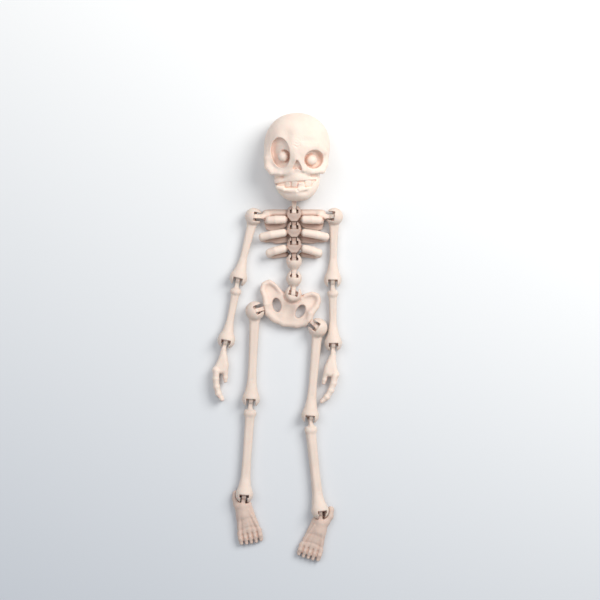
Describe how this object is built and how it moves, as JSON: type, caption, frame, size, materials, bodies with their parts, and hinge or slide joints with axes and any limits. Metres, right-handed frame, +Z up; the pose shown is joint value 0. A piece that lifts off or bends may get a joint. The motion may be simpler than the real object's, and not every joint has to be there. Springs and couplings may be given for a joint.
{
  "type": "halloween skeleton figure",
  "caption": "Jointed cartoon skeleton figure, printed flat in one ivory plastic, whose skull, ribbed spine, pelvis, arms and legs hang together on rings held in split balls.",
  "frame": {"origin": "middle of the figure's box on the table that it lies on, at Z = 0", "axes": "+Z up from the table and out of the figure's front, +Y from the feet to the head, +X to the side called right"},
  "size_m": [0.0654, 0.2234, 0.0243],
  "materials": {
    "bone_plastic": "matte"
  },
  "bodies": {
    "skull": {"skull": "bone_plastic"},
    "chest_vertebra": {"chest_vertebra": "bone_plastic"},
    "second_rib_vertebra": {"second_rib_vertebra": "bone_plastic"},
    "third_rib_vertebra": {"third_rib_vertebra": "bone_plastic"},
    "upper_lumbar_vertebra": {"upper_lumbar_vertebra": "bone_plastic"},
    "lower_lumbar_vertebra": {"lower_lumbar_vertebra": "bone_plastic"},
    "pelvis": {"pelvis": "bone_plastic"},
    "left_upper_arm": {"left_upper_arm": "bone_plastic"},
    "left_forearm": {"left_forearm": "bone_plastic"},
    "left_hand": {"left_hand": "bone_plastic"},
    "left_thigh": {"left_thigh": "bone_plastic"},
    "left_shin": {"left_shin": "bone_plastic"},
    "left_foot": {"left_foot": "bone_plastic"},
    "right_upper_arm": {"right_upper_arm": "bone_plastic"},
    "right_forearm": {"right_forearm": "bone_plastic"},
    "right_hand": {"right_hand": "bone_plastic"},
    "right_thigh": {"right_thigh": "bone_plastic"},
    "right_shin": {"right_shin": "bone_plastic"},
    "right_foot": {"right_foot": "bone_plastic"}
  },
  "joints": [
    {"name": "neck", "type": "hinge", "parent": "chest_vertebra", "child": "skull", "pos_m": [0.00834, 0.06242, 0.0042], "axis": [1, 0, 0], "range_deg": [-20, 20]},
    {"name": "upper_chest", "type": "hinge", "parent": "chest_vertebra", "child": "second_rib_vertebra", "pos_m": [0.00834, 0.05462, 0.0042], "axis": [-1, 0, 0], "range_deg": [-12, 18]},
    {"name": "lower_chest", "type": "hinge", "parent": "second_rib_vertebra", "child": "third_rib_vertebra", "pos_m": [0.00834, 0.04682, 0.0042], "axis": [-1, 0, 0], "range_deg": [-12, 18]},
    {"name": "waist_top", "type": "hinge", "parent": "third_rib_vertebra", "child": "upper_lumbar_vertebra", "pos_m": [0.00834, 0.03832, 0.0042], "axis": [-1, 0, 0], "range_deg": [-12, 18]},
    {"name": "waist_middle", "type": "hinge", "parent": "upper_lumbar_vertebra", "child": "lower_lumbar_vertebra", "pos_m": [0.00834, 0.02982, 0.0042], "axis": [-0.9986, 0.0523, 0], "range_deg": [-12, 18]},
    {"name": "waist_bottom", "type": "hinge", "parent": "lower_lumbar_vertebra", "child": "pelvis", "pos_m": [0.00792, 0.02173, 0.0042], "axis": [-0.9659, 0.2588, 0], "range_deg": [-12, 18]},
    {"name": "left_shoulder", "type": "hinge", "parent": "chest_vertebra", "child": "left_upper_arm", "pos_m": [-0.01176, 0.06032, 0.0042], "axis": [-0.1392, -0.9903, 0], "range_deg": [-40, 40]},
    {"name": "left_elbow", "type": "hinge", "parent": "left_upper_arm", "child": "left_forearm", "pos_m": [-0.0194, 0.02966, 0.0042], "axis": [-0.9703, 0.2419, 0], "range_deg": [-50, 55]},
    {"name": "left_wrist", "type": "hinge", "parent": "left_forearm", "child": "left_hand", "pos_m": [-0.02542, -0.00126, 0.0042], "axis": [-0.9816, 0.1908, 0], "range_deg": [-45, 50]},
    {"name": "left_hip", "type": "hinge", "parent": "pelvis", "child": "left_thigh", "pos_m": [-0.01112, 0.01327, 0.0042], "axis": [-0.4602, 0.8878, 0], "range_deg": [-45, 45]},
    {"name": "left_knee", "type": "hinge", "parent": "left_thigh", "child": "left_shin", "pos_m": [-0.01311, -0.03058, 0.0042], "axis": [0.999, -0.0454, 0], "range_deg": [-50, 55]},
    {"name": "left_ankle", "type": "hinge", "parent": "left_shin", "child": "left_foot", "pos_m": [-0.01644, -0.07817, 0.0042], "axis": [-0.9976, 0.0698, 0], "range_deg": [-30, 40]},
    {"name": "right_shoulder", "type": "hinge", "parent": "chest_vertebra", "child": "right_upper_arm", "pos_m": [0.02844, 0.06032, 0.0042], "axis": [0.1305, 0.9914, 0], "range_deg": [-40, 18]},
    {"name": "right_elbow", "type": "hinge", "parent": "right_upper_arm", "child": "right_forearm", "pos_m": [0.02761, 0.02873, 0.0042], "axis": [-0.9997, 0.0262, 0], "range_deg": [-50, 55]},
    {"name": "right_wrist", "type": "hinge", "parent": "right_forearm", "child": "right_hand", "pos_m": [0.02789, -0.00277, 0.0042], "axis": [-1, -0.0087, 0], "range_deg": [-45, 50]},
    {"name": "right_hip", "type": "hinge", "parent": "pelvis", "child": "right_thigh", "pos_m": [0.02017, 0.00488, 0.0042], "axis": [-0.5736, -0.8192, 0], "range_deg": [-45, 45]},
    {"name": "right_knee", "type": "hinge", "parent": "right_thigh", "child": "right_shin", "pos_m": [0.01635, -0.03885, 0.0042], "axis": [0.9962, -0.0872, 0], "range_deg": [-50, 55]},
    {"name": "right_ankle", "type": "hinge", "parent": "right_shin", "child": "right_foot", "pos_m": [0.02133, -0.08629, 0.0043], "axis": [-0.9458, -0.0994, 0.309], "range_deg": [-30, 40]}
  ]
}
